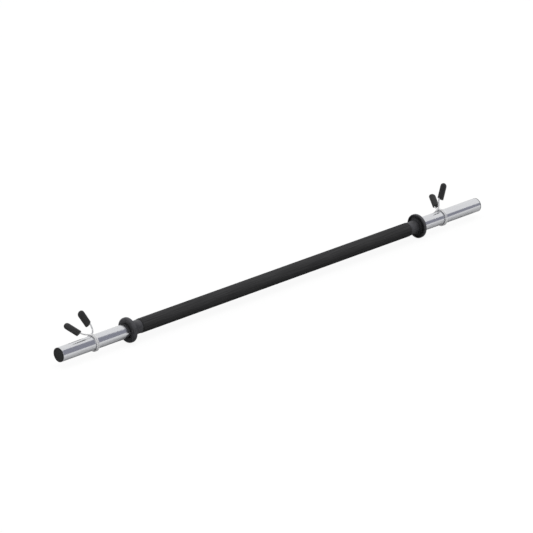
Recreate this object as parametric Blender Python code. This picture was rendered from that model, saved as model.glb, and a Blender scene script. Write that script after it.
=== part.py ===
# Aerobic barbell: a steel core tube in a foam grip, two chromed end sleeves, two moulded
# stop collars, two end caps and two spring collars that squeeze open and slide off.
# Metres, +Z up. The bar's axis is X, and the origin is the middle of the bar on that axis.

import math

import bmesh
import bpy
from mathutils import Matrix, Vector

# Bar
bar_length = 1.200
core_diameter = 0.0240
core_wall = 0.0020
sleeve_diameter = 0.0300
foam_diameter = 0.0304
foam_edge_round = 0.0010
sleeve_edge_chamfer = 0.0006

# Stop collars: a round flange with a hub on the foam's side, where its face is recessed
free_sleeve_length = 0.1794  # from the face that the plates rest against to the bar's end
flange_diameter = 0.0530
flange_thickness = 0.0079
flange_plate_side_round = 0.0040
flange_hub_side_round = 0.0010
flange_lip_width = 0.0018
flange_recess_depth = 0.0026
flange_recess_draft = 0.0005
hub_diameter = 0.0288
hub_length = 0.0272
hub_ring_width = 0.0036
hub_edge_round = 0.0012
sleeve_pocket_depth = 0.0062

# End caps
cap_rim_thickness = 0.0012
cap_edge_round = 0.0006
cap_dish_depth = 0.0004
cap_dish_margin = 0.0030
cap_plug_length = 0.0180
cap_plug_wall = 0.0016
cap_fin_height = 0.0011
cap_fin_width = 0.0016
cap_fin_pitch = 0.0050
cap_fin_count = 3

# Fasteners hidden under the flange and on the hub's far side
pin_diameter = 0.0025
pin_end_setback = 0.0006
pin_slot_width = 0.0006
pin_bore_diameter = 0.0013
screw_shank_diameter = 0.0030
screw_head_diameter = 0.0056
screw_head_height = 0.0014
screw_head_setback = 0.0003
screw_length = 0.0085
screw_recess_depth = 0.0008
screw_recess_width = 0.0008
screw_recess_length = 0.0030
screw_direction = math.radians(150)  # from straight up, turning away from the view

# Spring collars
wire_diameter = 0.0032
coil_turn_gap = 0.0004
coil_full_turns = 2
outer_arm_leave = math.radians(25)  # where each wire leaves the coil, from its top towards -Y
inner_arm_leave = math.radians(3)
arm_wrap = math.radians(240)  # how much of the coil stays with each arm
left_collar_setback = 0.0910  # from the bar's end to the middle of the coil
right_collar_setback = 0.1115
left_collar_turn = math.radians(35.5)  # from straight up, turning away from the view
right_collar_turn = math.radians(35.5)
outer_grip_outward = 0.0131  # from the coil's middle to the grip's mouth, towards the bar's end
inner_grip_outward = 0.0058
outer_grip_radius = 0.0305  # from the bar's axis to the grip's mouth
inner_grip_radius = 0.0401
outer_grip_lean = math.radians(24.2)  # towards the bar's end
inner_grip_lean = math.radians(29.3)
grip_spread = math.radians(25.2)  # place of each grip's mouth round the bar
grip_splay = math.radians(25.0)  # direction of each grip, seen along the bar
grip_length = 0.0351
grip_width = 0.0157  # towards the bar's end, where the oval grip is widest
grip_thickness = 0.0114
grip_tip_round = 0.0072
grip_base_round = 0.0008
outer_mouth_slant = math.radians(-7)  # how far the side nearer the bar's end reaches lower
inner_mouth_slant = math.radians(11.5)
grip_wire_depth = 0.0262
grip_bore_lead = 0.0015  # how far outside the mouth the bore's cutter starts
grip_wire_offset = 0.0040  # the wire enters off the grip's centre, nearer the bar's middle
outer_coil_pull = 0.0097  # how far each wire keeps the coil's direction before it bends
inner_coil_pull = 0.0124
outer_grip_pull = 0.0096  # and the grip's direction
inner_grip_pull = 0.0094

# Fits and facets
fit_gap = 0.0003
ring_facets = 40
small_facets = 16
round_steps = 3
grip_facets = 20
grip_tip_steps = 5
coil_step = math.radians(12)
arm_points = 12
wire_sides_resolution = 2

half_bar = bar_length / 2
core_radius = core_diameter / 2
core_bore_radius = core_radius - core_wall
sleeve_radius = sleeve_diameter / 2
hub_bore_radius = core_radius + fit_gap
sleeve_pocket_radius = sleeve_radius + fit_gap
flange_radius = flange_diameter / 2
hub_radius = hub_diameter / 2
plate_stop_place = half_bar - free_sleeve_length
hub_end_place = plate_stop_place - flange_thickness - hub_length
sleeve_inner_end = plate_stop_place - sleeve_pocket_depth + fit_gap
tube_end_place = half_bar - cap_rim_thickness - fit_gap
pin_place = (sleeve_inner_end + plate_stop_place) / 2
screw_place = hub_end_place + hub_length / 2
wire_radius = wire_diameter / 2
coil_radius = sleeve_radius + fit_gap + wire_radius
coil_pitch = wire_diameter + coil_turn_gap
coil_angle = coil_full_turns * math.tau - outer_arm_leave + inner_arm_leave
coil_half_width = coil_pitch * coil_angle / math.tau / 2
wire_cut = fit_gap / 2 / coil_radius
left_collar_place = half_bar - left_collar_setback
right_collar_place = half_bar - right_collar_setback


def clear_scene():
    for old in list(bpy.data.objects):
        bpy.data.objects.remove(old, do_unlink=True)


def make_material(name, colour, roughness, metallic):
    material = bpy.data.materials.new(name)
    material.use_nodes = True
    shader = material.node_tree.nodes["Principled BSDF"]
    shader.inputs["Base Color"].default_value = (*colour, 1.0)
    shader.inputs["Roughness"].default_value = roughness
    shader.inputs["Metallic"].default_value = metallic
    return material


def add_object(name, data, material, parent=None):
    piece = bpy.data.objects.new(name, data)
    bpy.context.collection.objects.link(piece)
    data.materials.append(material)
    piece.parent = parent
    return piece


def corner_arc(centre, radius, start, end, steps=round_steps):
    # Points (along, out) of an arc, with angles measured from the outward direction
    points = []
    for step in range(steps + 1):
        angle = start + (end - start) * step / steps
        points.append((centre[0] + radius * math.sin(angle), centre[1] + radius * math.cos(angle)))
    return points


def spun_mesh(name, outline, facets, closed):
    # Turns an outline of (along X, out from X) once round the X axis, a flat facet lowest
    mesh = bmesh.new()
    start = math.pi / facets
    points = [
        mesh.verts.new((along, out * math.sin(start), -out * math.cos(start)))
        for along, out in outline
    ]
    edges = [mesh.edges.new(pair) for pair in zip(points, points[1:])]
    if closed:
        edges.append(mesh.edges.new((points[-1], points[0])))
    bmesh.ops.spin(
        mesh,
        geom=points + edges,
        cent=(0, 0, 0),
        axis=(1, 0, 0),
        angle=math.tau,
        steps=facets,
        use_merge=True,
    )
    bmesh.ops.remove_doubles(mesh, verts=mesh.verts, dist=1e-6)
    bmesh.ops.recalc_face_normals(mesh, faces=mesh.faces)
    data = bpy.data.meshes.new(name)
    mesh.to_mesh(data)
    mesh.free()
    data.shade_smooth()
    data.set_sharp_from_angle(angle=math.radians(35))
    return data


def ring_outline(inner_end, outer_end, bore, radius, edge, steps=round_steps):
    # A tube's section, its outer edges rounded
    outline = [(inner_end, bore), (outer_end, bore)]
    outline += corner_arc((outer_end - edge, radius - edge), edge, math.pi / 2, 0, steps)
    outline += corner_arc((inner_end + edge, radius - edge), edge, 0, -math.pi / 2, steps)
    return outline


def mirrored(outline, side):
    return [(side * along, out) for along, out in outline]


def cutting_cylinder(name, start, direction, radius, length):
    mesh = bmesh.new()
    bmesh.ops.create_cone(
        mesh,
        cap_ends=True,
        segments=small_facets,
        radius1=radius,
        radius2=radius,
        depth=length,
    )
    data = bpy.data.meshes.new(name)
    mesh.to_mesh(data)
    mesh.free()
    cutter = bpy.data.objects.new(name, data)
    bpy.context.collection.objects.link(cutter)
    turn = direction.to_track_quat("Z", "Y").to_matrix().to_4x4()
    cutter.matrix_world = Matrix.Translation(start + direction * length / 2) @ turn
    cutter.hide_render = True
    cutter.display_type = "WIRE"
    return cutter


def cut(piece, cutter):
    modifier = piece.modifiers.new(cutter.name, "BOOLEAN")
    modifier.operation = "DIFFERENCE"
    modifier.solver = "EXACT"
    modifier.object = cutter


def build_core_tube(steel):
    outline = [
        (-tube_end_place, core_bore_radius),
        (tube_end_place, core_bore_radius),
        (tube_end_place, core_radius),
        (-tube_end_place, core_radius),
    ]
    return add_object("core_tube", spun_mesh("core_tube", outline, ring_facets, True), steel)


def build_foam_grip(foam):
    end = hub_end_place - fit_gap
    outline = ring_outline(-end, end, core_radius + fit_gap, foam_diameter / 2, foam_edge_round)
    add_object("foam_grip", spun_mesh("foam_grip", outline, ring_facets, True), foam)


def build_sleeve(name, side, chrome):
    outline = ring_outline(
        sleeve_inner_end,
        tube_end_place,
        core_radius + fit_gap,
        sleeve_radius,
        sleeve_edge_chamfer,
        1,
    )
    return add_object(name, spun_mesh(name, mirrored(outline, side), ring_facets, True), chrome)


def flange_outline():
    # From the pocket's mouth over the rim, down the recessed inner face and along the hub
    face = plate_stop_place
    back = face - flange_thickness
    recess = back + flange_recess_depth
    lip = flange_radius - flange_hub_side_round - flange_lip_width
    ring = hub_radius + hub_ring_width
    outline = [(face, sleeve_pocket_radius)]
    outline += corner_arc(
        (face - flange_plate_side_round, flange_radius - flange_plate_side_round),
        flange_plate_side_round,
        math.pi / 2,
        0,
    )
    outline += corner_arc(
        (back + flange_hub_side_round, flange_radius - flange_hub_side_round),
        flange_hub_side_round,
        0,
        -math.pi / 2,
    )
    outline += [
        (back, lip),
        (recess, lip - flange_recess_draft),
        (recess, ring + flange_recess_draft),
        (back, ring),
    ]
    outline += corner_arc(
        (back - hub_edge_round, hub_radius + hub_edge_round),
        hub_edge_round,
        math.pi / 2,
        math.pi,
    )
    outline += corner_arc(
        (hub_end_place + hub_edge_round, hub_radius - hub_edge_round),
        hub_edge_round,
        0,
        -math.pi / 2,
    )
    outline += [
        (hub_end_place, hub_bore_radius),
        (face - sleeve_pocket_depth, hub_bore_radius),
        (face - sleeve_pocket_depth, sleeve_pocket_radius),
    ]
    return outline


def build_stop_collar(name, side, nylon):
    outline = mirrored(flange_outline(), side)
    return add_object(name, spun_mesh(name, outline, ring_facets, True), nylon)


def cap_outline():
    # A shallow dished face, a rim over the sleeve's end and a hollow plug with fins
    face = half_bar
    seat = face - cap_rim_thickness
    plug_end = seat - cap_plug_length
    fin_radius = core_bore_radius - fit_gap
    plug_radius = fin_radius - cap_fin_height
    cavity_radius = plug_radius - cap_plug_wall
    dish_radius = sleeve_radius - cap_dish_margin
    outline = [
        (face - cap_dish_depth, 0),
        (face - cap_dish_depth, dish_radius - cap_dish_depth),
        (face, dish_radius),
    ]
    outline += corner_arc(
        (face - cap_edge_round, sleeve_radius - cap_edge_round),
        cap_edge_round,
        math.pi / 2,
        0,
    )
    outline += [(seat, sleeve_radius), (seat, plug_radius)]
    for fin in range(cap_fin_count):
        fin_start = seat - cap_fin_pitch * (fin + 0.5)
        outline += [
            (fin_start, plug_radius),
            (fin_start - cap_fin_width, fin_radius),
            (fin_start - cap_fin_width * 2, plug_radius),
        ]
    outline += [
        (plug_end, plug_radius),
        (plug_end, cavity_radius),
        (seat, cavity_radius),
        (seat, 0),
    ]
    return outline


def build_end_cap(name, side, nylon):
    add_object(name, spun_mesh(name, mirrored(cap_outline(), side), ring_facets, False), nylon)


def build_sleeve_pin(name, side, steel):
    # A slotted spring pin across the sleeve and the core tube, covered by the flange
    pin_length = 2 * (sleeve_radius - pin_end_setback)
    outer = pin_diameter / 2
    bore = pin_bore_diameter / 2
    half_slot = math.asin(pin_slot_width / 2 / outer)
    mesh = bmesh.new()
    section = []
    for radius, order in ((outer, 1), (bore, -1)):
        for step in range(small_facets + 1)[::order]:
            angle = half_slot + (math.tau - 2 * half_slot) * step / small_facets
            place = (radius * math.cos(angle), -pin_length / 2, radius * math.sin(angle))
            section.append(mesh.verts.new(place))
    face = mesh.faces.new(section)
    grown = bmesh.ops.extrude_face_region(mesh, geom=[face])
    moved = [item for item in grown["geom"] if isinstance(item, bmesh.types.BMVert)]
    bmesh.ops.translate(mesh, verts=moved, vec=(0, pin_length, 0))
    bmesh.ops.recalc_face_normals(mesh, faces=mesh.faces)
    data = bpy.data.meshes.new(name)
    mesh.to_mesh(data)
    mesh.free()
    pin = add_object(name, data, steel)
    pin.location = (side * pin_place, 0, 0)


def cut_pin_holes(side_name, side, core, sleeve):
    across = Vector((0, 1, 0))
    start = Vector((side * pin_place, -sleeve_diameter, 0))
    cutter = cutting_cylinder(
        f"{side_name}_pin_cutter", start, across, pin_diameter / 2 + fit_gap, 2 * sleeve_diameter
    )
    cut(core, cutter)
    cut(sleeve, cutter)


def screw_axis():
    return Vector((0, math.sin(screw_direction), math.cos(screw_direction)))


def screw_outline():
    # Along the screw from its flat head, out from its axis
    shank = screw_shank_diameter / 2
    return [
        (0, 0),
        (0, screw_head_diameter / 2),
        (-screw_head_height, shank),
        (-(screw_length - shank), shank),
        (-screw_length, 0),
    ]


def build_hub_screw(name, side, steel):
    # A countersunk screw with a crossed recess, on the hub's far side
    screw = add_object(name, spun_mesh(name, screw_outline(), small_facets, False), steel)
    out = screw_axis()
    head = hub_radius - screw_head_setback
    turn = out.to_track_quat("X", "Z").to_matrix().to_4x4()
    place = Matrix.Translation(Vector((side * screw_place, 0, 0)) + out * head)
    screw.matrix_world = place @ turn
    for slot in range(2):
        mesh = bmesh.new()
        bmesh.ops.create_cube(mesh, size=1.0)
        size = (2 * screw_recess_depth, screw_recess_length, screw_recess_width)
        bmesh.ops.scale(mesh, vec=size, verts=mesh.verts)
        quarter = Matrix.Rotation(slot * math.pi / 2, 3, "X")
        bmesh.ops.rotate(mesh, cent=(0, 0, 0), matrix=quarter, verts=mesh.verts)
        data = bpy.data.meshes.new(f"{name}_recess_{slot}")
        mesh.to_mesh(data)
        mesh.free()
        cutter = bpy.data.objects.new(f"{name}_recess_{slot}", data)
        bpy.context.collection.objects.link(cutter)
        cutter.matrix_world = place @ turn
        cutter.hide_render = True
        cutter.display_type = "WIRE"
        cut(screw, cutter)


def cut_screw_hole(side_name, side, core, collar):
    out = screw_axis()
    centre = Vector((side * screw_place, 0, 0))
    shank = screw_shank_diameter / 2 + fit_gap
    hole = cutting_cylinder(f"{side_name}_screw_cutter", centre, out, shank, 2 * hub_radius)
    cut(core, hole)
    cut(collar, hole)
    sink_outline = [
        (hub_radius, 0),
        (hub_radius, screw_head_diameter / 2 + 2 * fit_gap),
        (-screw_head_setback, screw_head_diameter / 2 + 2 * fit_gap),
        (-screw_head_setback - screw_head_height, shank),
        (-screw_head_setback - screw_head_height - fit_gap, shank),
        (-screw_head_setback - screw_head_height - fit_gap, 0),
    ]
    name = f"{side_name}_sink_cutter"
    sink = bpy.data.objects.new(name, spun_mesh(name, sink_outline, small_facets, False))
    bpy.context.collection.objects.link(sink)
    turn = out.to_track_quat("X", "Z").to_matrix().to_4x4()
    sink.matrix_world = Matrix.Translation(centre + out * hub_radius) @ turn
    sink.hide_render = True
    sink.display_type = "WIRE"
    cut(collar, sink)


def coil_point(side, angle):
    # A point of the spring's coil; the angle runs from the outer arm's end of the coil, over
    # the top and down the -Y side. The two collars are wound opposite ways, as a pair.
    round_bar = -outer_arm_leave - angle
    along = coil_half_width * (1 - 2 * angle / coil_angle)
    return Vector((
        side * along,
        coil_radius * math.sin(round_bar),
        coil_radius * math.cos(round_bar),
    ))


def coil_stretch(side, start, end):
    steps = max(2, round((end - start) / coil_step))
    return [coil_point(side, start + (end - start) * step / steps) for step in range(steps + 1)]


def grip_base(side, hand):
    # hand is 1 for the outer arm, whose grip lies on the collar's +Y side, and -1 for the inner
    outward = outer_grip_outward if hand > 0 else inner_grip_outward
    radius = outer_grip_radius if hand > 0 else inner_grip_radius
    spread = hand * grip_spread
    return Vector((side * outward, radius * math.sin(spread), radius * math.cos(spread)))


def grip_direction(side, hand):
    splay = hand * grip_splay
    lean = outer_grip_lean if hand > 0 else inner_grip_lean
    return Vector((
        side * math.sin(lean),
        math.cos(lean) * math.sin(splay),
        math.cos(lean) * math.cos(splay),
    ))


def grip_across(side, hand):
    # Square to the grip and as near as can be to the direction of the bar's end
    outward = Vector((side, 0, 0))
    direction = grip_direction(side, hand)
    return (outward - direction * outward.dot(direction)).normalized()


def wire_mouth(side, hand):
    # Where the wire goes into the grip: across the grip from its centre, towards the bar's middle
    return grip_base(side, hand) - grip_across(side, hand) * grip_wire_offset


def arm_rise(side, hand):
    # The wire's smooth run from the end of the coil to the mouth of its grip
    start = coil_point(side, 0 if hand > 0 else coil_angle)
    tangent = Vector((0, start.z, -start.y)).normalized() * hand
    end = wire_mouth(side, hand)
    first = start + tangent * (outer_coil_pull if hand > 0 else inner_coil_pull)
    last = end - grip_direction(side, hand) * (outer_grip_pull if hand > 0 else inner_grip_pull)
    points = []
    for step in range(1, arm_points + 1):
        t = step / arm_points
        points.append(
            start * (1 - t) ** 3
            + first * (3 * t * (1 - t) ** 2)
            + last * (3 * t**2 * (1 - t))
            + end * t**3
        )
    return points


def wire_object(name, points, steel, parent):
    curve = bpy.data.curves.new(name, "CURVE")
    curve.dimensions = "3D"
    curve.bevel_depth = wire_radius
    curve.bevel_resolution = wire_sides_resolution
    curve.use_fill_caps = True
    spline = curve.splines.new("POLY")
    spline.points.add(len(points) - 1)
    for spot, point in zip(spline.points, points):
        spot.co = (*point, 1.0)
    return add_object(name, curve, steel, parent)


def build_arm_wire(name, side, hand, steel, parent):
    # The last part of the coil, the run up to the grip and the straight end inside it
    if hand > 0:
        wrap = coil_stretch(side, 0, arm_wrap - wire_cut)[::-1]
    else:
        wrap = coil_stretch(side, coil_angle - arm_wrap + wire_cut, coil_angle)
    inside = wire_mouth(side, hand) + grip_direction(side, hand) * grip_wire_depth
    wire_object(name, wrap + arm_rise(side, hand) + [inside], steel, parent)


def grip_mesh(name, hand):
    # A dipped grip along +X: an oval, widest along Z, with a slanted mouth and a round tip
    slant = outer_mouth_slant if hand > 0 else inner_mouth_slant
    half_width = grip_width / 2
    outline = [(0, 0), (0, half_width - grip_base_round), (grip_base_round, half_width)]
    for step in range(grip_tip_steps + 1):
        angle = math.pi / 2 * step / grip_tip_steps
        along = grip_length - grip_tip_round + grip_tip_round * math.sin(angle)
        outline.append((along, half_width * math.cos(angle)))
    data = spun_mesh(name, outline, grip_facets, False)
    for vertex in data.vertices:
        vertex.co.y *= grip_thickness / grip_width
        if vertex.co.x < grip_length / 2:
            vertex.co.x -= math.tan(slant) * vertex.co.z
    return data


def build_grip(name, side, hand, vinyl, parent):
    # The wire's bore is blind: it starts outside the grip and ends inside
    grip = add_object(name, grip_mesh(name, hand), vinyl, parent)
    direction = grip_direction(side, hand)
    across = grip_across(side, hand)
    turn = Matrix((direction, across.cross(direction), across)).transposed().to_4x4()
    grip.matrix_local = Matrix.Translation(grip_base(side, hand)) @ turn
    bore_start = wire_mouth(side, hand) - direction * grip_bore_lead
    bore_length = grip_wire_depth + grip_bore_lead + fit_gap
    bore = cutting_cylinder(
        f"{name}_bore", bore_start, direction, wire_radius + fit_gap, bore_length
    )
    bore.parent = parent
    cut(grip, bore)


def collar_mount(name, side, place, turn):
    # An empty on the bar's axis, in the middle of the coil; its +Z points between the grips
    mount = bpy.data.objects.new(name, None)
    bpy.context.collection.objects.link(mount)
    mount.matrix_world = Matrix.Translation((side * place, 0, 0)) @ Matrix.Rotation(-turn, 4, "X")
    return mount


def build_spring_collar(side_name, side, place, turn, steel, vinyl):
    mount = collar_mount(f"{side_name}_collar_mount", side, place, turn)
    middle = coil_stretch(side, arm_wrap + wire_cut, coil_angle - arm_wrap - wire_cut)
    wire_object(f"{side_name}_spring_coil", middle, steel, mount)
    for arm_name, hand in (("outer", 1), ("inner", -1)):
        build_arm_wire(f"{side_name}_{arm_name}_arm", side, hand, steel, mount)
        build_grip(f"{side_name}_{arm_name}_grip", side, hand, vinyl, mount)


def build_barbell():
    clear_scene()
    steel = make_material("plain_steel", (0.30, 0.30, 0.31), 0.45, 1.0)
    chrome = make_material("chromed_steel", (0.62, 0.62, 0.64), 0.12, 1.0)
    spring_steel = make_material("plated_spring_steel", (0.60, 0.60, 0.60), 0.20, 1.0)
    foam = make_material("black_foam", (0.030, 0.030, 0.031), 0.85, 0.0)
    nylon = make_material("black_nylon", (0.035, 0.035, 0.037), 0.45, 0.0)
    vinyl = make_material("dipped_vinyl", (0.020, 0.020, 0.021), 0.50, 0.0)
    core = build_core_tube(steel)
    build_foam_grip(foam)
    places = (
        ("left", -1, left_collar_place, left_collar_turn),
        ("right", 1, right_collar_place, right_collar_turn),
    )
    for side_name, side, place, turn in places:
        sleeve = build_sleeve(f"{side_name}_sleeve", side, chrome)
        collar = build_stop_collar(f"{side_name}_stop_collar", side, nylon)
        build_end_cap(f"{side_name}_end_cap", side, nylon)
        build_sleeve_pin(f"{side_name}_sleeve_pin", side, steel)
        cut_pin_holes(side_name, side, core, sleeve)
        build_hub_screw(f"{side_name}_hub_screw", side, steel)
        cut_screw_hole(side_name, side, core, collar)
        build_spring_collar(side_name, side, place, turn, spring_steel, vinyl)


build_barbell()
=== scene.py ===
# Aerobic barbell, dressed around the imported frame: a foam grip between two moulded stop
# collars, chromed sleeves with end caps, and a spring collar on each sleeve.
# Metres, +Z up. The bar's axis is X, and the origin is the middle of the bar.
import math

import bpy
from mathutils import Matrix, Vector


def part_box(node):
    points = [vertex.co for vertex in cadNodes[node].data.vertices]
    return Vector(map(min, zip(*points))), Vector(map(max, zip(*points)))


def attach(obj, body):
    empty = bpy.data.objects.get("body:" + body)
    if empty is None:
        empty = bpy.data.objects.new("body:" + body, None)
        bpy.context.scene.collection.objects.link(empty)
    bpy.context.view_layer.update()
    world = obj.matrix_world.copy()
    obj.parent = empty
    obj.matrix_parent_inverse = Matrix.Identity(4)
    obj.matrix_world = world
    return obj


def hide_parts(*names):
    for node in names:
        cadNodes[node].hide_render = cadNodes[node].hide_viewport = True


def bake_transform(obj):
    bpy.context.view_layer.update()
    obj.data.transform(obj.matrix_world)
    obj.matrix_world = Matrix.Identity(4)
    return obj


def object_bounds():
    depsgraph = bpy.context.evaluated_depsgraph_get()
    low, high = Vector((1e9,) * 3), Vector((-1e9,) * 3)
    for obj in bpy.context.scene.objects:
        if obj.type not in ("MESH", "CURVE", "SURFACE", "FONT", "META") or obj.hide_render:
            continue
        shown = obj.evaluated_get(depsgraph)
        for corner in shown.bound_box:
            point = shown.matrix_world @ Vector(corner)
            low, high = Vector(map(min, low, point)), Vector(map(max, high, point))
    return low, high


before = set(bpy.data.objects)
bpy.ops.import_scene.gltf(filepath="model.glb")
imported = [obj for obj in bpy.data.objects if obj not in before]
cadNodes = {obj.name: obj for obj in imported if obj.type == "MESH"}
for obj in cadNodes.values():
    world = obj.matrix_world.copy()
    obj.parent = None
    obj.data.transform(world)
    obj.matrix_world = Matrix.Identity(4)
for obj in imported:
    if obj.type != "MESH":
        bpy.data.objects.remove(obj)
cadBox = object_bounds()
print("frame loaded")

sides = {"left": -1, "right": 1}


# Camera

cameraView = {
    "place": (-5.2132, -5.4137, 3.0406),
    "tilt": 68.117,  # degrees up from looking straight down
    "heading": -43.750,
    "lens": 263.99,  # mm, on a sensor 36 mm wide
}


def placeCamera():
    turn = (math.radians(cameraView["tilt"]), 0, math.radians(cameraView["heading"]))
    bpy.ops.object.camera_add(location=cameraView["place"], rotation=turn)
    camera = bpy.context.object
    camera.data.lens = cameraView["lens"]
    bpy.context.scene.camera = camera


placeCamera()
print("camera placed")


# Small helpers for the materials


def linear(hexColour):
    # An sRGB hex colour as the linear values that a shader takes
    channels = [int(hexColour[place : place + 2], 16) / 255 for place in (1, 3, 5)]
    return (*(c / 12.92 if c <= 0.04045 else ((c + 0.055) / 1.055) ** 2.4 for c in channels), 1)


def addNode(tree, kind, settings=None, inputs=None):
    # One node with its settings; an input is a value or the output that feeds it
    node = tree.nodes.new(kind)
    for name, value in (settings or {}).items():
        setattr(node, name, value)
    for name, value in (inputs or {}).items():
        if isinstance(value, bpy.types.NodeSocket):
            tree.links.new(value, node.inputs[name])
        else:
            node.inputs[name].default_value = value
    return node


def newMaterial(name, colour, roughness, metallic=0.0, ior=1.5):
    material = bpy.data.materials.new(name)
    material.use_nodes = True
    shader = material.node_tree.nodes["Principled BSDF"]
    shader.inputs["Base Color"].default_value = linear(colour)
    shader.inputs["Roughness"].default_value = roughness
    shader.inputs["Metallic"].default_value = metallic
    shader.inputs["IOR"].default_value = ior
    return material, material.node_tree, shader


def surfacePlace(tree):
    return addNode(tree, "ShaderNodeTexCoord").outputs["Object"]


def grain(tree, place, size, detail=2.0, roughness=0.5):
    # Noise whose features measure size, one length or a length for each axis
    lengths = size if isinstance(size, tuple) else (size, size, size)
    scale = tuple(1 / length for length in lengths)
    stretched = addNode(tree, "ShaderNodeMapping", inputs={"Vector": place, "Scale": scale})
    settings = {"Vector": stretched.outputs[0], "Scale": 1.0, "Detail": detail, "Roughness": roughness}
    return addNode(tree, "ShaderNodeTexNoise", inputs=settings).outputs["Fac"]


def spread(tree, value, low, high, start=0.3, end=0.7):
    # Maps the middle of a noise to a range of values
    limits = {"Value": value, "From Min": start, "From Max": end, "To Min": low, "To Max": high}
    return addNode(tree, "ShaderNodeMapRange", inputs=limits).outputs["Result"]


def mixColours(tree, factor, first, second):
    # Sockets 6 and 7 are the colours of the node, and output 2 is the colour that comes out
    settings = {"data_type": "RGBA"}
    inputs = {0: factor, 6: linear(first), 7: linear(second)}
    return addNode(tree, "ShaderNodeMix", settings, inputs).outputs[2]


def relief(tree, height, depth, under=None):
    # Bump of a real depth in metres, over another relief if one is given
    inputs = {"Height": height, "Distance": depth, "Strength": 1.0}
    if under:
        inputs["Normal"] = under
    return addNode(tree, "ShaderNodeBump", inputs=inputs).outputs["Normal"]


# Materials

chromeLook = {
    "colour": "#e0e1e4",
    "plainRoughness": 0.15,
    "roughness": (0.10, 0.24),
    "spiralLead": 0.070,  # what one turn of a grinding mark climbs along the tube
    "spiralWidth": 0.0024,  # the real marks are finer than a twentieth of this
    "spiralLength": 0.060,
    "spiralDepth": 0.00010,
    "drawWidth": 0.0022,
    "drawLength": 0.160,
    "drawDepth": 0.00006,
}


def makeHardChrome():
    # Hard chrome on a centreless-ground steel tube: a cold mirror, broken by fine marks that
    # spiral round it and by faint lengthwise waves of the drawn tube under the plating
    material, tree, shader = newMaterial(
        "hardChromeOnGroundSteel", chromeLook["colour"], chromeLook["plainRoughness"], 1.0
    )
    place = surfacePlace(tree)
    along = addNode(tree, "ShaderNodeSeparateXYZ", inputs={0: place}).outputs["X"]
    turns = {0: along, 1: -math.tau / chromeLook["spiralLead"]}
    angle = addNode(tree, "ShaderNodeMath", {"operation": "MULTIPLY"}, turns).outputs[0]
    unwound = addNode(
        tree, "ShaderNodeVectorRotate", {"rotation_type": "X_AXIS"}, {"Vector": place, "Angle": angle}
    ).outputs[0]
    width = chromeLook["spiralWidth"]
    spiral = grain(tree, unwound, (chromeLook["spiralLength"], width, width))
    width = chromeLook["drawWidth"]
    draw = grain(tree, place, (chromeLook["drawLength"], width, width))
    under = relief(tree, draw, chromeLook["drawDepth"])
    tree.links.new(relief(tree, spiral, chromeLook["spiralDepth"], under), shader.inputs["Normal"])
    tree.links.new(spread(tree, spiral, *chromeLook["roughness"]), shader.inputs["Roughness"])
    return material


wireLook = {
    "colour": "#fafafb",
    "plainRoughness": 0.4,
    "roughness": (0.28, 0.40),
    "metallic": 0.6,
    "mottle": 0.0012,
    "depth": 0.00001,
}


def makeSpringWire():
    # Hard-drawn spring wire, bright zinc plated: paler and softer than the chrome, with a thin
    # white bloom
    material, tree, shader = newMaterial(
        "zincPlatedSpringWire", wireLook["colour"], wireLook["plainRoughness"], wireLook["metallic"]
    )
    mottle = grain(tree, surfacePlace(tree), wireLook["mottle"])
    tree.links.new(spread(tree, mottle, *wireLook["roughness"]), shader.inputs["Roughness"])
    tree.links.new(relief(tree, mottle, wireLook["depth"]), shader.inputs["Normal"])
    return material


foamLook = {
    "plain": ("#2e2e2f", 0.85),  # colour and roughness under the patterns
    "colours": ("#363637", "#484849"),
    "roughness": (0.72, 0.95),
    "ior": 1.45,
    "gloss": 0.14,
    "pore": 0.0009,  # closed cells of about 0.3 mm, drawn coarser so that they show
    "poreReach": 0.8,  # of a cell, from its middle to where it counts as rim
    "poreDepth": 0.00012,
    "streakWidth": 0.0016,
    "streakLength": 0.060,
    "streakDepth": 0.00010,
}


def makeNitrileFoam():
    # Extruded nitrile foam: matt, nearly black, with open pores and faint lengthwise streaks
    # of the die
    material, tree, shader = newMaterial("extrudedNitrileFoam", *foamLook["plain"], ior=foamLook["ior"])
    shader.inputs["Specular IOR Level"].default_value = foamLook["gloss"]
    place = surfacePlace(tree)
    pores = addNode(
        tree, "ShaderNodeTexVoronoi", {"feature": "F1"}, {"Vector": place, "Scale": 1 / foamLook["pore"]}
    ).outputs["Distance"]
    width = foamLook["streakWidth"]
    streaks = grain(tree, place, (foamLook["streakLength"], width, width))
    colour = mixColours(tree, spread(tree, streaks, 0, 1), *foamLook["colours"])
    tree.links.new(colour, shader.inputs["Base Color"])
    rough = spread(tree, pores, *foamLook["roughness"], 0, foamLook["poreReach"])
    tree.links.new(rough, shader.inputs["Roughness"])
    under = relief(tree, streaks, foamLook["streakDepth"])
    tree.links.new(relief(tree, pores, foamLook["poreDepth"], under), shader.inputs["Normal"])
    return material


nylonLook = {
    "colours": ("#4a4a4d", "#5a5a5e"),
    "capColours": ("#212122", "#2b2b2c"),
    "plainRoughness": 0.45,
    "roughness": (0.40, 0.54),
    "ior": 1.53,
    "gloss": 0.20,
    # The next two set the painted shade that darkens corners and recesses
    "cornerShadeReach": 0.020,
    "cornerShadePower": 2.5,  # power of the openness; a higher one darkens corners more
    "faceShadeStart": 0.0165,  # radius up to which the painted shade round the sleeve on the stop collar's face is full; it fades out beyond
    "faceShadeFull": 0.0240,
    "faceShadeDepth": 0.0030,
    "faceShadeDark": 0.75,
    "grain": 0.0008,  # a spark-eroded mould leaves about 0.1 mm, drawn coarser so that it shows
    "grainDepth": 0.00003,
    "cloud": 0.012,
}


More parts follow.
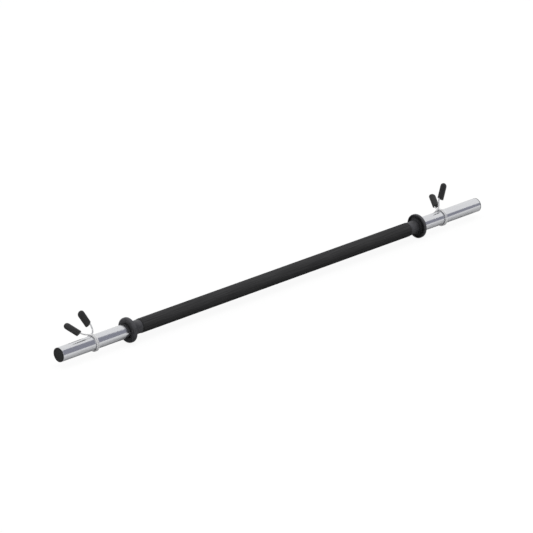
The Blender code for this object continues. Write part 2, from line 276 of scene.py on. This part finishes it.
def plateFaceShade(tree, place):
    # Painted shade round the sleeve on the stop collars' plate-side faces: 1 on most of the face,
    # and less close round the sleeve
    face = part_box("right_stop_collar")[1].x
    along = addNode(tree, "ShaderNodeSeparateXYZ", inputs={0: place}).outputs["X"]
    aside = addNode(tree, "ShaderNodeMath", {"operation": "ABSOLUTE"}, {0: along}).outputs[0]
    seat = spread(tree, aside, 0, nylonLook["faceShadeDark"], face - nylonLook["faceShadeDepth"], face)
    flat = {0: place, 1: (0, 1, 1)}
    across = addNode(tree, "ShaderNodeVectorMath", {"operation": "MULTIPLY"}, flat).outputs[0]
    radius = addNode(tree, "ShaderNodeVectorMath", {"operation": "LENGTH"}, {0: across}).outputs["Value"]
    near = spread(tree, radius, 1, 0, nylonLook["faceShadeStart"], nylonLook["faceShadeFull"])
    dark = addNode(tree, "ShaderNodeMath", {"operation": "MULTIPLY"}, {0: seat, 1: near}).outputs[0]
    return addNode(tree, "ShaderNodeMath", {"operation": "SUBTRACT"}, {0: 1, 1: dark}).outputs[0]


def makeMouldedPlastic(name, colours, sleeveShaded):
    # Injection-moulded nylon from a spark-eroded mould: black, satin, with an even fine grain,
    # and with painted shade that darkens its corners and recesses
    material, tree, shader = newMaterial(
        name, colours[0], nylonLook["plainRoughness"], ior=nylonLook["ior"]
    )
    shader.inputs["Specular IOR Level"].default_value = nylonLook["gloss"]
    place = surfacePlace(tree)
    fine = grain(tree, place, nylonLook["grain"], 1.0)
    cloud = grain(tree, place, nylonLook["cloud"])
    colour = mixColours(tree, spread(tree, cloud, 0, 1), *colours)
    # Painted shade: the colour darkens where other faces of the piece hem the surface in
    reach = {"Distance": nylonLook["cornerShadeReach"]}
    openness = addNode(tree, "ShaderNodeAmbientOcclusion", {"only_local": True}, reach).outputs["AO"]
    powers = {0: openness, 1: nylonLook["cornerShadePower"]}
    light = addNode(tree, "ShaderNodeMath", {"operation": "POWER"}, powers).outputs[0]
    # Painted shade round the sleeve on the plate-side face
    if sleeveShaded:
        both = {0: light, 1: plateFaceShade(tree, place)}
        light = addNode(tree, "ShaderNodeMath", {"operation": "MULTIPLY"}, both).outputs[0]
    # The colour times its painted shade in corners and, on the stop collars, round the sleeve
    shadedColour = addNode(tree, "ShaderNodeHueSaturation", inputs={"Color": colour, "Value": light}).outputs[0]
    tree.links.new(shadedColour, shader.inputs["Base Color"])
    tree.links.new(spread(tree, cloud, *nylonLook["roughness"]), shader.inputs["Roughness"])
    tree.links.new(relief(tree, fine, nylonLook["grainDepth"]), shader.inputs["Normal"])
    return material


vinylLook = {
    "plain": ("#1f1f20", 0.5),
    "colours": ("#262627", "#303031"),
    "roughness": (0.45, 0.62),
    "ior": 1.52,
    "gloss": 0.40,
    "ripple": 0.0022,  # the orange peel of a dipped skin
    "rippleDepth": 0.00006,
    "fine": 0.0007,
}


def makeDippedVinyl():
    # Plastisol dipped over the wire's end and cured: soft black skin with a slight orange peel
    material, tree, shader = newMaterial("dippedVinyl", *vinylLook["plain"], ior=vinylLook["ior"])
    shader.inputs["Specular IOR Level"].default_value = vinylLook["gloss"]
    place = surfacePlace(tree)
    ripple = grain(tree, place, vinylLook["ripple"])
    fine = grain(tree, place, vinylLook["fine"])
    colour = mixColours(tree, spread(tree, fine, 0, 1), *vinylLook["colours"])
    tree.links.new(colour, shader.inputs["Base Color"])
    tree.links.new(spread(tree, ripple, *vinylLook["roughness"]), shader.inputs["Roughness"])
    tree.links.new(relief(tree, ripple, vinylLook["rippleDepth"]), shader.inputs["Normal"])
    return material


steelLook = {
    "plain": ("#87888a", 0.4),
    "colours": ("#77787a", "#97989a"),
    "roughness": (0.30, 0.50),
    "scale": 0.0015,
}


def makePlainSteel():
    # Mild steel, zinc plated and dulled: the tube inside, its pins and the hub screws
    material, tree, shader = newMaterial("dullZincOnMildSteel", *steelLook["plain"], 1.0)
    mottle = grain(tree, surfacePlace(tree), steelLook["scale"])
    colour = mixColours(tree, spread(tree, mottle, 0, 1), *steelLook["colours"])
    tree.links.new(colour, shader.inputs["Base Color"])
    tree.links.new(spread(tree, mottle, *steelLook["roughness"]), shader.inputs["Roughness"])
    return material


hardChrome = makeHardChrome()
springWire = makeSpringWire()
nitrileFoam = makeNitrileFoam()
mouldedNylon = makeMouldedPlastic("mouldedNylon", nylonLook["colours"], sleeveShaded=True)
capNylon = makeMouldedPlastic("blackerMouldedNylon", nylonLook["capColours"], sleeveShaded=False)
dippedVinyl = makeDippedVinyl()
plainSteel = makePlainSteel()
print("materials made")


# Floor, sky and lamp

studio = {
    "floorSize": 40.0,
    "floorGlow": 0.90,
    "floorShade": 0.14,
    "floorBounce": 0.12,
    # Painted shadow under the bar on the floor seen in gloss: whiteness there, whiteness and reach away
    # from it
    "floorInMetal": (0.56, 0.97, 0.10),
    "skyInGloss": 0.88,
    "skyLight": 0.64,
    # Grey cards in front of the bar, seen only in gloss, give the chrome its dark band
    "cardFront": 0.50,
    "cards": ((-0.70, 0.78, 1.36), (0.78, 2.0, 0.50)),  # left edge, right edge, height
    "card": "#8f909b",
    # A dark patch of the sky, this way from the bar, draws the spring wire's edges
    "patchWay": (-0.85, 0.30, 0.20),
    "patchEdge": (0.40, 0.62),
    "patch": "#2a2a2f",
    "lampSize": 2.2,
    "lampHeight": 3.5,
    "lampPower": 27.0,
}


def plainGrey(value):
    return (value, value, value, 1)


def layFloor():
    bpy.ops.object.select_all(action="DESELECT")
    height = cadBox[0].z
    bpy.ops.mesh.primitive_plane_add(size=studio["floorSize"], location=(0, 0, height))
    floor = bpy.context.object
    floor.name = "studioFloor"
    material = bpy.data.materials.new("matWhiteFloor")
    material.use_nodes = True
    tree = material.node_tree
    tree.nodes.clear()
    rays = addNode(tree, "ShaderNodeLightPath").outputs
    place = addNode(tree, "ShaderNodeSeparateXYZ", inputs={0: surfacePlace(tree)}).outputs["Y"]
    aside = addNode(tree, "ShaderNodeMath", {"operation": "ABSOLUTE"}, {0: place}).outputs[0]
    dim, bright, reach = studio["floorInMetal"]
    # Painted shadow: the floor seen in gloss is greyer the nearer it lies to the bar's line
    paintedShadowStrip = spread(tree, aside, dim, bright, 0, reach)
    bounce, inMetal, shade = [
        addNode(tree, "ShaderNodeBsdfDiffuse", inputs={"Color": colour}).outputs[0]
        for colour in (plainGrey(studio["floorBounce"]), paintedShadowStrip, plainGrey(studio["floorShade"]))
    ]
    glow = addNode(tree, "ShaderNodeEmission", inputs={"Strength": studio["floorGlow"]}).outputs[0]
    inView = addNode(tree, "ShaderNodeAddShader", inputs={0: glow, 1: shade}).outputs[0]
    whole = bounce
    for seen, look in ((rays["Is Glossy Ray"], inMetal), (rays["Is Camera Ray"], inView)):
        whole = addNode(tree, "ShaderNodeMixShader", inputs={0: seen, 1: whole, 2: look}).outputs[0]
    addNode(tree, "ShaderNodeOutputMaterial", inputs={"Surface": whole})
    floor.data.materials.append(material)


def makeSky():
    # Pale all round but for the dark patch
    world = bpy.data.worlds.new("studioSky")
    bpy.context.scene.world = world
    world.use_nodes = True
    tree = world.node_tree
    tree.nodes.clear()
    way = addNode(tree, "ShaderNodeTexCoord").outputs["Generated"]
    ends = {0: way, 1: studio["patchWay"]}
    apart = addNode(tree, "ShaderNodeVectorMath", {"operation": "DISTANCE"}, ends)
    near, far = studio["patchEdge"]
    clear = addNode(
        tree,
        "ShaderNodeMapRange",
        {"interpolation_type": "SMOOTHSTEP"},
        {"Value": apart.outputs["Value"], "From Min": near, "From Max": far},
    ).outputs["Result"]
    colour = mixColours(tree, clear, studio["patch"], "#ffffff")
    rays = addNode(tree, "ShaderNodeLightPath").outputs
    plain = plainGrey(1)
    skies = [
        addNode(tree, "ShaderNodeBackground", inputs={"Color": tint, "Strength": strength}).outputs[0]
        for tint, strength in ((plain, studio["skyLight"]), (colour, studio["skyInGloss"]), (plain, 1))
    ]
    whole, glossy, white = skies
    for seen, look in ((rays["Is Glossy Ray"], glossy), (rays["Is Camera Ray"], white)):
        whole = addNode(tree, "ShaderNodeMixShader", inputs={0: seen, 1: whole, 2: look}).outputs[0]
    addNode(tree, "ShaderNodeOutputWorld", inputs={"Surface": whole})


def standCards():
    material = bpy.data.materials.new("greyCard")
    material.use_nodes = True
    tree = material.node_tree
    tree.nodes.clear()
    grey = addNode(tree, "ShaderNodeEmission", inputs={"Color": linear(studio["card"])}).outputs[0]
    addNode(tree, "ShaderNodeOutputMaterial", inputs={"Surface": grey})
    for left, right, height in studio["cards"]:
        place = ((left + right) / 2, -studio["cardFront"], cadBox[0].z + height / 2)
        bpy.ops.object.select_all(action="DESELECT")
        bpy.ops.mesh.primitive_plane_add(size=1, location=place, rotation=(math.pi / 2, 0, 0))
        card = bpy.context.object
        card.name = "studioCard"
        card.scale = (right - left, height, 1)
        card.data.materials.append(material)
        for light in ("camera", "diffuse", "transmission", "volume_scatter", "shadow"):
            setattr(card, f"visible_{light}", False)


def hangLamp():
    bpy.ops.object.light_add(type="AREA", location=(0, 0, studio["lampHeight"]))
    lamp = bpy.context.object
    lamp.visible_glossy = False
    lamp.data.size = studio["lampSize"]
    lamp.data.energy = studio["lampPower"]


layFloor()
makeSky()
standCards()
hangLamp()
bpy.context.scene.view_settings.view_transform = "Standard"
print("studio lit")


# Modelling helpers

weldDistance = 1e-6  # below any real edge, so that only doubled vertices join


def roundedOutline(corners, steps=5):
    # The outline of a turned piece from (along, out, corner radius); a radius of 0 stays sharp
    points = []
    for place, (along, out, radius) in enumerate(corners):
        corner = Vector((along, out))
        if radius == 0:
            points.append(corner)
            continue
        before = (Vector(corners[place - 1][:2]) - corner).normalized()
        after = (Vector(corners[(place + 1) % len(corners)][:2]) - corner).normalized()
        half = before.angle(after) / 2
        centre = corner + (before + after).normalized() * radius / math.sin(half)
        start = (corner + before * radius / math.tan(half) - centre).normalized()
        end = (corner + after * radius / math.tan(half) - centre).normalized()
        points += [centre + start.slerp(end, step / steps) * radius for step in range(steps + 1)]
    return points


def weldAndFaceOut():
    # Joins the doubled vertices of the piece in edit mode and leaves the mode
    bpy.ops.mesh.select_all(action="SELECT")
    bpy.ops.mesh.remove_doubles(threshold=weldDistance)
    bpy.ops.mesh.normals_make_consistent(inside=False)
    bpy.ops.object.mode_set(mode="OBJECT")


def turnOnLathe(name, outline, steps, closed):
    # Draws the outline as a line of vertices, then spins it once round the X axis
    bpy.ops.object.select_all(action="DESELECT")
    bpy.ops.mesh.primitive_plane_add(size=0.001)  # of any size: it is merged into one point
    piece = bpy.context.object
    piece.name = name
    piece.data.name = name
    points = outline + [outline[0]] if closed else outline
    bpy.ops.object.mode_set(mode="EDIT")
    bpy.ops.mesh.merge(type="CENTER")
    bpy.ops.transform.translate(value=(points[0][0], 0, points[0][1]))
    for last, point in zip(points, points[1:]):
        step = (point[0] - last[0], 0, point[1] - last[1])
        bpy.ops.mesh.extrude_vertices_move(TRANSFORM_OT_translate={"value": step})
    bpy.ops.mesh.select_all(action="SELECT")
    bpy.ops.mesh.spin(steps=steps, angle=math.tau, center=(0, 0, 0), axis=(1, 0, 0))
    weldAndFaceOut()
    return piece


def onlySelected(piece):
    bpy.ops.object.select_all(action="DESELECT")
    piece.select_set(True)
    bpy.context.view_layer.objects.active = piece


def smooth(piece, degrees=35):
    onlySelected(piece)
    bpy.ops.object.shade_smooth_by_angle(angle=math.radians(degrees))


def copyOf(piece, name):
    onlySelected(piece)
    bpy.ops.object.duplicate()
    copy = bpy.context.object
    copy.name = name
    copy.data.name = name
    return copy


def settle(piece, matrix):
    # Moves a piece to its place and keeps the place in its mesh
    onlySelected(piece)
    piece.matrix_world = matrix
    bpy.ops.object.transform_apply(location=True, rotation=True, scale=True)


def subtract(piece, cutter):
    # Cuts one piece out of another and throws the cutter away
    onlySelected(piece)
    modifier = piece.modifiers.new("opening", "BOOLEAN")
    modifier.operation = "DIFFERENCE"
    modifier.solver = "EXACT"
    modifier.object = cutter
    bpy.ops.object.modifier_apply(modifier=modifier.name)
    bpy.data.objects.remove(cutter, do_unlink=True)


def drillBit(name, start, direction, radius, length, facets=32):
    # A plain round cutter from start along direction, turned by half a facet so that none of its
    # corners meets an edge of what it cuts
    bpy.ops.object.select_all(action="DESELECT")
    bpy.ops.mesh.primitive_cylinder_add(vertices=facets, radius=radius, depth=length)
    cutter = bpy.context.object
    cutter.name = name
    aim = direction.to_track_quat("Z", "Y").to_matrix().to_4x4()
    turn = aim @ Matrix.Rotation(math.pi / facets, 4, "Z")
    settle(cutter, Matrix.Translation(start + direction * length / 2) @ turn)
    return cutter


def middleOf(node):
    low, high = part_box(node)
    return (low + high) / 2


def finishPiece(piece, material, body, replaced):
    piece.data.materials.clear()
    piece.data.materials.append(material)
    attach(piece, body)
    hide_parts(replaced)


# Foam grip

foamGrip = {
    "diameter": 0.0304,
    "edgeRound": 0.0010,
    "sectionLength": 0.006,
    "steps": 72,
}


def buildFoamGrip():
    low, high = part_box("foam_grip")
    bore = coreFit["radius"] + coreFit["gap"]
    radius = foamGrip["diameter"] / 2
    edge = foamGrip["edgeRound"]
    corners = [(low.x, bore, 0), (low.x, radius, edge)]
    sections = round((high.x - low.x) / foamGrip["sectionLength"])
    for section in range(1, sections):
        corners.append((low.x + (high.x - low.x) * section / sections, radius, 0))
    corners += [(high.x, radius, edge), (high.x, bore, 0)]
    grip = turnOnLathe("foamGrip", roundedOutline(corners), foamGrip["steps"], True)
    smooth(grip)
    finishPiece(grip, nitrileFoam, "bar", "foam_grip")


# Sleeves over the core tube

coreFit = {
    "radius": 0.0120,
    "gap": 0.0003,
}

sleeve = {
    "diameter": 0.0300,
    "edgeRound": 0.0006,
    "pinHole": 0.00155,
    "steps": 96,
}


def buildSleeves():
    for name in sides:
        low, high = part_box(f"{name}_sleeve")
        bore = coreFit["radius"] + coreFit["gap"]
        radius = sleeve["diameter"] / 2
        edge = sleeve["edgeRound"]
        corners = [(low.x, bore, 0), (low.x, radius, edge), (high.x, radius, edge), (high.x, bore, 0)]
        tube = turnOnLathe(f"{name}Sleeve", roundedOutline(corners, 3), sleeve["steps"], True)
        across = Vector((0, 1, 0))
        reach = 2 * radius  # well clear of the tube on both sides
        start = Vector((middleOf(f"{name}_sleeve_pin").x, -reach, 0))
        subtract(tube, drillBit("pinHole", start, across, sleeve["pinHole"], 2 * reach))
        smooth(tube)
        finishPiece(tube, hardChrome, "bar", f"{name}_sleeve")


# Stop collars: a round flange that the plates rest against, and a hub on the foam's side

stopCollar = {
    "faceToFace": 0.8412,
    "flangeThickness": 0.0079,
    "plateSideRound": 0.0040,
    "hubSideRound": 0.0010,
    "lipWidth": 0.0018,
    "recessDepth": 0.0026,
    "recessDraft": 0.0005,
    "edgeBreak": 0.0003,
    "hubDiameter": 0.0288,
    "hubLength": 0.0272,
    "hubRing": 0.0036,
    "hubEdge": 0.0012,
    "pocketDepth": 0.0062,
    "steps": 112,
}


def stopCollarOutline():
    # From the pocket that takes the sleeve, over the rim, down the recess and along the hub
    flange = -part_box("right_stop_collar")[0].z
    face = stopCollar["faceToFace"] / 2
    back = face - stopCollar["flangeThickness"]
    recess = back + stopCollar["recessDepth"]
    draft = stopCollar["recessDraft"]
    lip = flange - stopCollar["hubSideRound"] - stopCollar["lipWidth"]
    hub = stopCollar["hubDiameter"] / 2
    ring = hub + stopCollar["hubRing"]
    hubEnd = back - stopCollar["hubLength"]
    pocket = sleeve["diameter"] / 2 + coreFit["gap"]
    pocketEnd = face - stopCollar["pocketDepth"]
    bore = coreFit["radius"] + coreFit["gap"]
    edgeBreak = stopCollar["edgeBreak"]
    return roundedOutline([
        (face, pocket, edgeBreak),
        (face, flange, stopCollar["plateSideRound"]),
        (back, flange, stopCollar["hubSideRound"]),
        (back, lip, edgeBreak),
        (recess, lip - draft, edgeBreak),
        (recess, ring + draft, edgeBreak),
        (back, ring, edgeBreak),
        (back, hub, stopCollar["hubEdge"]),
        (hubEnd, hub, stopCollar["hubEdge"]),
        (hubEnd, bore, 0),
        (pocketEnd, bore, 0),
        (pocketEnd, pocket, 0),
    ])


# The hub's countersunk screw is a node of the frame; this is the hole that it sits in

hubScrew = {
    "direction": 150,  # degrees from straight up, turning away from the view
    "shank": 0.0018,
    "head": 0.0031,
    "headDepth": 0.0017,
    "sink": 0.0003,
    "steps": 32,
}


def cutScrewHole(piece, name):
    angle = math.radians(hubScrew["direction"])
    out = Vector((0, math.sin(angle), math.cos(angle)))
    centre = Vector((middleOf(f"{name}_hub_screw").x, 0, 0))
    hub = stopCollar["hubDiameter"] / 2
    depth = hubScrew["headDepth"]
    above = hub / 4  # clear of the hub's surface
    outline = [
        Vector(point)
        for point in (
            (-hub, 0),
            (-hub, hubScrew["shank"]),
            (-depth, hubScrew["shank"]),
            (-hubScrew["sink"], hubScrew["head"]),
            (above, hubScrew["head"]),
            (above, 0),
        )
    ]
    countersink = turnOnLathe("countersink", outline, hubScrew["steps"], False)
    turn = out.to_track_quat("X", "Z").to_matrix().to_4x4()
    settle(countersink, Matrix.Translation(centre + out * hub) @ turn)
    subtract(piece, countersink)


def buildStopCollars():
    right = turnOnLathe("rightStopCollar", stopCollarOutline(), stopCollar["steps"], True)
    left = copyOf(right, "leftStopCollar")
    settle(left, Matrix.Rotation(math.pi, 4, "Z"))
    for collar, name in ((left, "left"), (right, "right")):
        cutScrewHole(collar, name)
        smooth(collar)
        finishPiece(collar, mouldedNylon, "bar", f"{name}_stop_collar")


# End caps: a dished face over the sleeve's end and a hollow plug with fins that grip the tube

endCap = {
    "rim": 0.0012,
    "rimRound": 0.0006,
    "dishDepth": 0.0004,
    "dishMargin": 0.0030,
    "plugRadius": 0.0086,
    "plugWall": 0.0016,
    "plugLength": 0.0180,
    "finHeight": 0.0011,
    "finWidth": 0.0016,
    "finPitch": 0.0050,
    "fins": 3,
    "steps": 96,
}


def endCapOutline():
    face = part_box("right_end_cap")[1].x
    seat = face - endCap["rim"]
    radius = sleeve["diameter"] / 2
    dish = radius - endCap["dishMargin"]
    depth = endCap["dishDepth"]
    plug = endCap["plugRadius"]
    cavity = plug - endCap["plugWall"]
    corners = [
        (face - depth, 0, 0),
        (face - depth, dish - depth, depth / 2),
        (face, dish, depth / 2),
        (face, radius, endCap["rimRound"]),
        (seat, radius, 0),
        (seat, plug, 0),
    ]
    for fin in range(endCap["fins"]):
        start = seat - endCap["finPitch"] * (fin + 0.5)
        corners += [
            (start, plug, 0),
            (start - endCap["finWidth"], plug + endCap["finHeight"], 0),
            (start - endCap["finWidth"] * 2, plug, 0),
        ]
    plugEnd = seat - endCap["plugLength"]
    corners += [(plugEnd, plug, 0), (plugEnd, cavity, 0), (seat, cavity, 0), (seat, 0, 0)]
    return roundedOutline(corners)


def buildEndCaps():
    right = turnOnLathe("rightEndCap", endCapOutline(), endCap["steps"], False)
    left = copyOf(right, "leftEndCap")
    settle(left, Matrix.Rotation(math.pi, 4, "Z"))
    for cap, name in ((left, "left"), (right, "right")):
        smooth(cap)
        finishPiece(cap, capNylon, "bar", f"{name}_end_cap")


# Spring collars: one wire of about two turns, bent up into two arms with dipped grips

springCollar = {
    "wire": 0.0032,
    "gap": 0.0003,
    "turnGap": 0.0004,
    "outerLeave": 25,  # degrees from the coil's top towards -Y, where each arm leaves it
    "innerLeave": 3,
    "armWrap": 240,  # degrees of the coil that go with each arm
    "places": {"left": -0.5090, "right": 0.4885},
    "turn": 35.5,  # degrees from straight up, turning away from the view
    "pointsPerTurn": 60,
    "risePoints": 28,
    "wireDetail": 6,
    "faceOverlap": 0.1,  # degrees by which the pieces of one wire meet inside each other
}

# What differs between the arm towards the bar's end and the one towards the plates
collarArms = {
    "Outer": {
        "hand": 1,
        "outward": 0.0131,
        "radius": 0.0305,
        "lean": 24.2,  # degrees towards the bar's end
        "mouthSlant": -7.0,  # degrees; how far the side nearer the bar's end reaches lower
        "coilPull": 0.0097,
        "gripPull": 0.0096,
    },
    "Inner": {
        "hand": -1,
        "outward": 0.0058,
        "radius": 0.0401,
        "lean": 29.3,
        "mouthSlant": 11.5,
        "coilPull": 0.0124,
        "gripPull": 0.0094,
    },
}

springGrip = {
    "length": 0.0351,
    "width": 0.0157,  # an oval, widest towards the bar's end
    "thickness": 0.0114,
    "tipRound": 0.0072,
    "baseRound": 0.0008,
    "spread": 25.2,  # degrees round the bar to the grip's mouth
    "splay": 25.0,
    "wireDepth": 0.0262,
    "holeLead": 0.0015,  # how far outside the mouth its drill starts
    "wireOffset": 0.0040,
    "steps": 48,
}

coilRadius = sleeve["diameter"] / 2 + springCollar["gap"] + springCollar["wire"] / 2
coilAngle = 720 - springCollar["outerLeave"] + springCollar["innerLeave"]
coilHalfWidth = (springCollar["wire"] + springCollar["turnGap"]) * coilAngle / 360 / 2


def collarFrame(name):
    # From a collar's own space, upright with its coil at the origin, to its place on the bar
    place = Matrix.Translation((springCollar["places"][name], 0, 0))
    return place @ Matrix.Rotation(-math.radians(springCollar["turn"]), 4, "X")


def coilPoint(side, degrees):
    roundBar = -math.radians(springCollar["outerLeave"] + degrees)
    along = side * coilHalfWidth * (1 - 2 * degrees / coilAngle)
    return Vector((along, coilRadius * math.sin(roundBar), coilRadius * math.cos(roundBar)))


def coilStretch(side, start, end):
    steps = round(abs(end - start) / 360 * springCollar["pointsPerTurn"])
    return [coilPoint(side, start + (end - start) * step / steps) for step in range(steps + 1)]


def gripDirection(side, arm):
    lean = math.radians(arm["lean"])
    splay = arm["hand"] * math.radians(springGrip["splay"])
    upright = math.cos(lean)
    return Vector((side * math.sin(lean), upright * math.sin(splay), upright * math.cos(splay)))


def gripBase(side, arm):
    angle = arm["hand"] * math.radians(springGrip["spread"])
    radius = arm["radius"]
    return Vector((side * arm["outward"], radius * math.sin(angle), radius * math.cos(angle)))


def gripAcross(side, arm):
    # Across the grip, towards the bar's end; the wire goes in on the other side of the middle
    outward = Vector((side, 0, 0))
    direction = gripDirection(side, arm)
    return (outward - direction * outward.dot(direction)).normalized()


def armPoints(side, arm):
    # Round the coil, up in one smooth bend and straight into the grip
    hand = arm["hand"]
    wrap = springCollar["armWrap"] + springCollar["faceOverlap"]
    if hand > 0:
        points = coilStretch(side, wrap, 0)
    else:
        points = coilStretch(side, coilAngle - wrap, coilAngle)
    start = points[-1]
    end = gripBase(side, arm) - gripAcross(side, arm) * springGrip["wireOffset"]
    direction = gripDirection(side, arm)
    first = start + Vector((0, start.z, -start.y)).normalized() * hand * arm["coilPull"]
    last = end - direction * arm["gripPull"]
    for step in range(1, springCollar["risePoints"] + 1):
        t = step / springCollar["risePoints"]
        pulls = (start * (1 - t) ** 3, first * 3 * t * (1 - t) ** 2, last * 3 * t**2 * (1 - t), end * t**3)
        points.append(sum(pulls, Vector()))
    return points + [end + direction * springGrip["wireDepth"]]


def bendWire(name, points):
    # A round wire along the points, as a mesh with closed ends
    bpy.ops.object.select_all(action="DESELECT")
    bpy.ops.curve.primitive_nurbs_path_add()
    wire = bpy.context.object
    wire.name = name
    curve = wire.data
    curve.splines.clear()
    route = curve.splines.new("POLY")
    route.points.add(len(points) - 1)
    for spot, point in zip(route.points, points):
        spot.co = (*point, 1)
    curve.bevel_depth = springCollar["wire"] / 2
    curve.bevel_resolution = springCollar["wireDetail"]
    curve.use_fill_caps = True
    bpy.ops.object.convert(target="MESH")
    wire = bpy.context.object
    wire.data.name = name
    bpy.ops.object.mode_set(mode="EDIT")
    weldAndFaceOut()
    smooth(wire)
    return wire


def buildArms(name, side):
    for armName, arm in collarArms.items():
        wire = bendWire(f"{name}{armName}Arm", armPoints(side, arm))
        settle(wire, collarFrame(name))
        node = f"{name}_{armName.lower()}_arm"
        finishPiece(wire, springWire, node, node)


def buildCoilHalves(name, side):
    # The free middle of the coil winds up when the arms are squeezed; the coil is made here
    # as two halves, each from its arm's end of the wire to the middle
    middle = coilAngle / 2
    wrap = springCollar["armWrap"]
    place = collarFrame(name)
    for armName, end in (("Outer", wrap), ("Inner", coilAngle - wrap)):
        half = bendWire(f"{name}{armName}CoilHalf", coilStretch(side, end, middle))
        settle(half, place)
        half.data.materials.append(springWire)
        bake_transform(half)
        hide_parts(f"{name}_spring_coil")


def modelGrip(name, mouthSlant):
    # Mouth at the origin, tip along +X; the wire's hole is off the middle, towards +Z
    halfWidth = springGrip["width"] / 2
    length = springGrip["length"]
    tip = springGrip["tipRound"]
    corners = [(0, 0, 0), (0, halfWidth, springGrip["baseRound"]), (length - tip, halfWidth, 0)]
    outline = roundedOutline(corners)
    tipSteps = springGrip["steps"] // 4
    for step in range(1, tipSteps + 1):
        angle = step / tipSteps * math.pi / 2
        outline.append(Vector((length - tip + tip * math.sin(angle), halfWidth * math.cos(angle))))
    grip = turnOnLathe(name, outline, springGrip["steps"], False)
    bpy.ops.object.mode_set(mode="EDIT")
    bpy.ops.mesh.select_all(action="SELECT")
    flatten = (1, springGrip["thickness"] / springGrip["width"], 1)
    bpy.ops.transform.resize(value=flatten, center_override=(0, 0, 0))
    bpy.ops.mesh.select_all(action="DESELECT")
    bpy.ops.object.mode_set(mode="OBJECT")
    for vertex in grip.data.vertices:
        vertex.select = vertex.co.x < length / 2
    bpy.ops.object.mode_set(mode="EDIT")
    slant = -math.radians(mouthSlant)
    bpy.ops.transform.rotate(value=slant, orient_axis="Y", center_override=(0, 0, 0))
    bpy.ops.object.mode_set(mode="OBJECT")
    start = Vector((-springGrip["holeLead"], 0, springGrip["wireOffset"]))
    radius = springCollar["wire"] / 2 + springCollar["gap"]
    depth = springGrip["wireDepth"] + springGrip["holeLead"] + springCollar["gap"]
    subtract(grip, drillBit("wireHole", start, Vector((1, 0, 0)), radius, depth))
    smooth(grip)
    return grip


def buildGrips():
    for armName, arm in collarArms.items():
        model = modelGrip("gripModel", arm["mouthSlant"])
        for name, side in sides.items():
            grip = copyOf(model, f"{name}{armName}Grip")
            direction = gripDirection(side, arm)
            holeSide = -gripAcross(side, arm)
            axes = Matrix((direction, holeSide.cross(direction), holeSide)).transposed()
            place = Matrix.Translation(gripBase(side, arm)) @ axes.to_4x4()
            settle(grip, collarFrame(name) @ place)
            body = f"{name}_{armName.lower()}_arm"
            finishPiece(grip, dippedVinyl, body, f"{name}_{armName.lower()}_grip")
        bpy.data.objects.remove(model, do_unlink=True)


buildFoamGrip()
buildSleeves()
print("foam grip and sleeves made")
buildStopCollars()
buildEndCaps()
print("stop collars and end caps made")
for name, side in sides.items():
    buildArms(name, side)
    buildCoilHalves(name, side)
buildGrips()
print("spring collars made")

for node in ("core_tube", "left_sleeve_pin", "right_sleeve_pin", "left_hub_screw", "right_hub_screw"):
    cadNodes[node].data.materials.clear()
    cadNodes[node].data.materials.append(plainSteel)
print("steel inside and fasteners finished")
